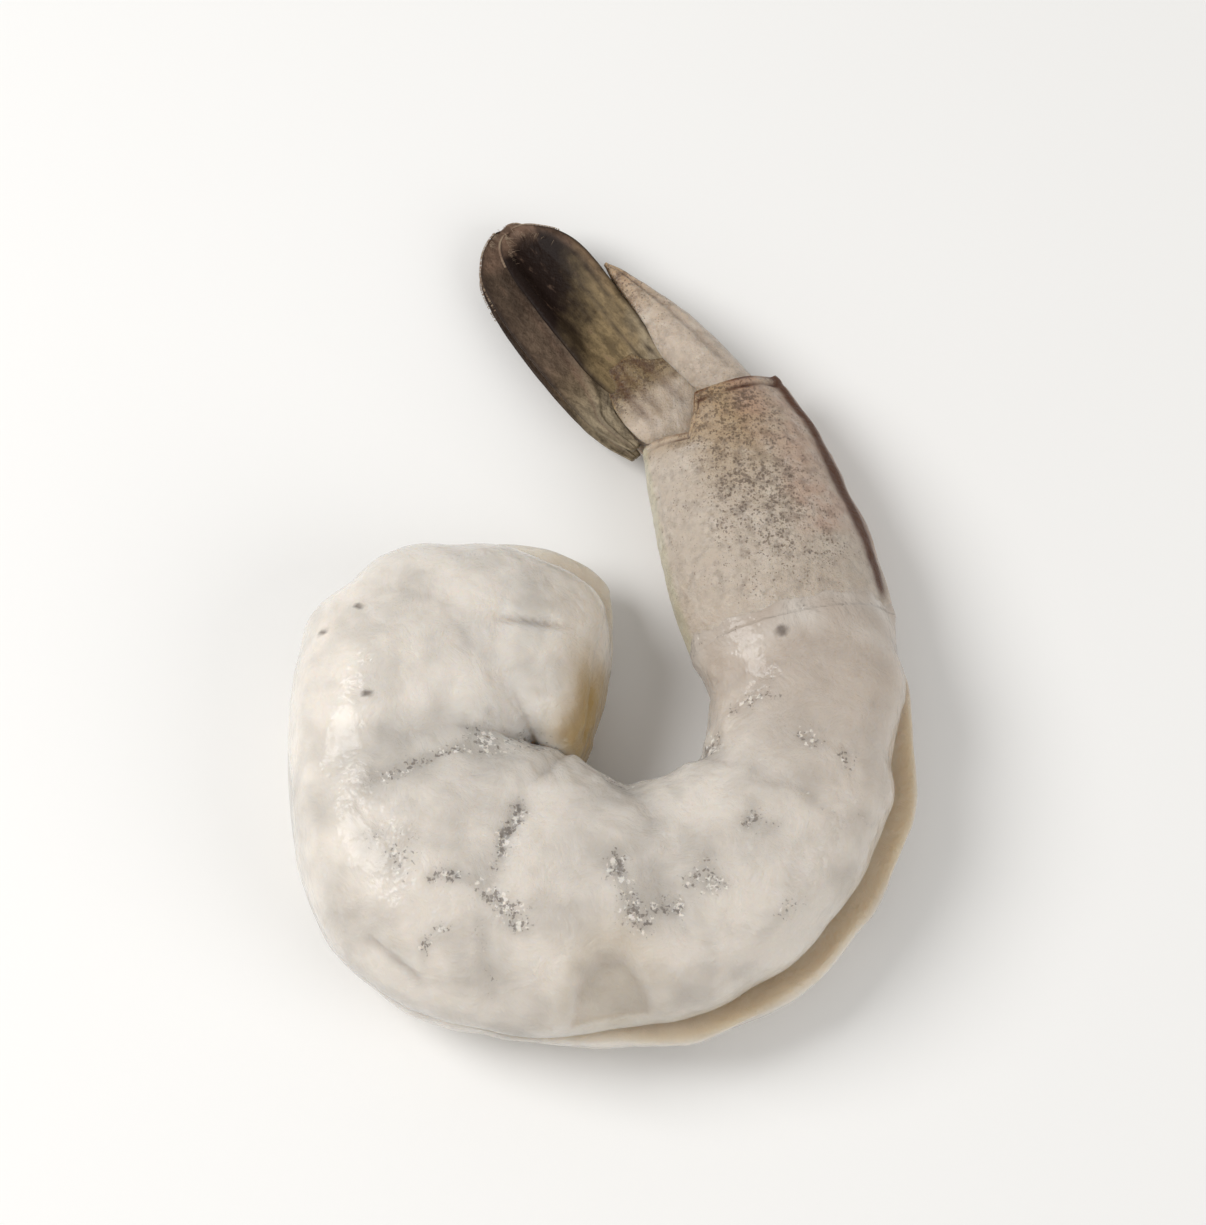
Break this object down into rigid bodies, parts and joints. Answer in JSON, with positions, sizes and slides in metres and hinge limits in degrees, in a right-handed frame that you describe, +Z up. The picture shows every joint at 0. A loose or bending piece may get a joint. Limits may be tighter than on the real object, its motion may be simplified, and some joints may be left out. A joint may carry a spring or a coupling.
{
  "type": "raw tiger prawn",
  "caption": "Raw prawn, peeled and slit along its back, curled on its side, with its last shell ring, telson and tail fan left on.",
  "frame": {"origin": "middle of the footprint of the curled prawn, on the surface it lies on", "axes": "+Z up through its width, since it lies on its side; +Y from the curled flesh towards the tail fan; +X from the head end's side to the tail's side"},
  "size_m": [0.0476, 0.069, 0.0155],
  "materials": {
    "raw_flesh": "wet, translucent",
    "tail_shell": "wet, speckled",
    "tail_fan": "wet, dark"
  },
  "bodies": {
    "root": {"flesh": "raw_flesh", "shell_ring": "tail_shell", "telson": "tail_shell", "base_plate_top": "tail_shell", "base_plate_bottom": "tail_shell", "inner_blade_top": "tail_fan", "outer_blade_top": "tail_fan", "inner_blade_bottom": "tail_fan", "outer_blade_bottom": "tail_fan"}
  },
  "joints": []
}
